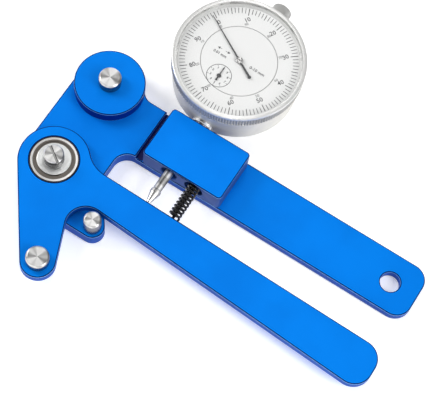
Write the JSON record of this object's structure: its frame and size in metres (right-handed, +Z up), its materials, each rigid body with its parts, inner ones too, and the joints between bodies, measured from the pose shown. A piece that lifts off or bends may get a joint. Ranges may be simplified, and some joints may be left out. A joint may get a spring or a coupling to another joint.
{
  "type": "spoke tension meter",
  "caption": "Hand tool with two blue arms on a ball bearing, three steel posts that bend a spoke, a return spring and a round dial gauge that reads the lever's travel.",
  "frame": {"origin": "on the axis of the lever's pivot, in the underside of the fixed arm", "axes": "+X along the fixed arm's handle, towards its hanging hole; +Y from the lever towards the dial gauge; +Z up out of the dial's face"},
  "size_m": [0.1831, 0.1734, 0.03],
  "materials": {
    "blue_anodised": "satin blue anodised aluminium with small bevels",
    "turned_steel": "finely turned bright steel",
    "bearing_steel": "ground bearing steel",
    "shield_steel": "pressed steel shield",
    "black_screws": "black oxide",
    "spring_steel": "dark spring wire with a soft shine",
    "gauge_metal": "satin silver",
    "bezel_metal": "polished rim over a finely serrated band",
    "brass": "plain brass",
    "dial_face": "matt white print",
    "hand_black": "matt black",
    "crystal": "clear"
  },
  "bodies": {
    "frame": {"upper_arm": "blue_anodised", "gauge_block": "blue_anodised", "block_screws": "black_screws", "stem_grub_screw": "black_screws", "guide_disc": "blue_anodised", "post_a": "turned_steel", "post_b": "turned_steel", "arm_post_screws": "black_screws", "pivot_stud": "turned_steel", "thrust_washer": "shield_steel", "bearing_inner_race": "bearing_steel", "cover_washer": "turned_steel", "pivot_nut": "turned_steel", "main_spring": "spring_steel", "gauge_case": "gauge_metal", "back_cover": "gauge_metal", "back_cover_screws": "turned_steel", "gauge_stem": "turned_steel", "top_bush": "gauge_metal", "top_cap": "turned_steel", "key_guide": "brass", "return_spring": "spring_steel", "spring_anchor": "turned_steel", "movement_bridge": "brass", "movement_pillars": "brass", "hairspring": "spring_steel", "inner_dial": "dial_face", "bezel_ring": "spring_steel"},
    "lever": {"lower_arm": "blue_anodised", "bearing_outer_race": "bearing_steel", "bearing_balls": "bearing_steel", "bearing_cage": "brass", "bearing_shields": "shield_steel", "post_c": "turned_steel", "leg_post_screw": "black_screws", "spring_guide_pin": "spring_steel"},
    "plunger": {"plunger": "turned_steel", "contact_point": "turned_steel", "plunger_key": "turned_steel"},
    "turns_hand": {"rack_arbor": "turned_steel", "rack_wheel": "brass", "small_pointer": "hand_black"},
    "main_hand": {"centre_arbor": "turned_steel", "main_pointer": "hand_black"},
    "takeup": {"takeup_arbor": "turned_steel", "takeup_wheel": "brass"},
    "bezel": {"bezel": "bezel_metal", "scale_ring": "dial_face", "crystal": "crystal"}
  },
  "joints": [
    {"name": "lever_pivot", "type": "hinge", "parent": "frame", "child": "lever", "pos_m": [0, 0, 0], "axis": [0, 0, 1], "range_deg": [0, 6], "stiffness_Nm_per_rad": 18, "deforming": ["main_spring"]},
    {"name": "plunger_slide", "type": "slide", "parent": "frame", "child": "plunger", "axis": [0, 1, 0], "range_m": [0, 0.0048], "stiffness_N_per_m": 100, "deforming": ["return_spring"]},
    {"name": "turns_hand_spin", "type": "hinge", "parent": "frame", "child": "turns_hand", "pos_m": [0.04136, 0.0689, 0], "axis": [0, 0, 1], "range_deg": [0, 172]},
    {"name": "main_hand_spin", "type": "hinge", "parent": "frame", "child": "main_hand", "pos_m": [0.045, 0.0801, 0], "axis": [0, 0, 1], "range_deg": [-1720, 0]},
    {"name": "takeup_spin", "type": "hinge", "parent": "frame", "child": "takeup", "pos_m": [0.05402, 0.08767, 0], "axis": [0, 0, 1], "range_deg": [0, 172], "deforming": ["hairspring"]},
    {"name": "bezel_turn", "type": "hinge", "parent": "frame", "child": "bezel", "pos_m": [0.045, 0.0801, 0], "axis": [0, 0, 1], "continuous": true}
  ],
  "couplings": [
    {"joint": "plunger_slide", "follows": "lever_pivot", "m_per_rad": 0.0454},
    {"joint": "turns_hand_spin", "follows": "lever_pivot", "ratio": 28.526},
    {"joint": "main_hand_spin", "follows": "lever_pivot", "ratio": -285.26},
    {"joint": "takeup_spin", "follows": "lever_pivot", "ratio": 28.526}
  ]
}
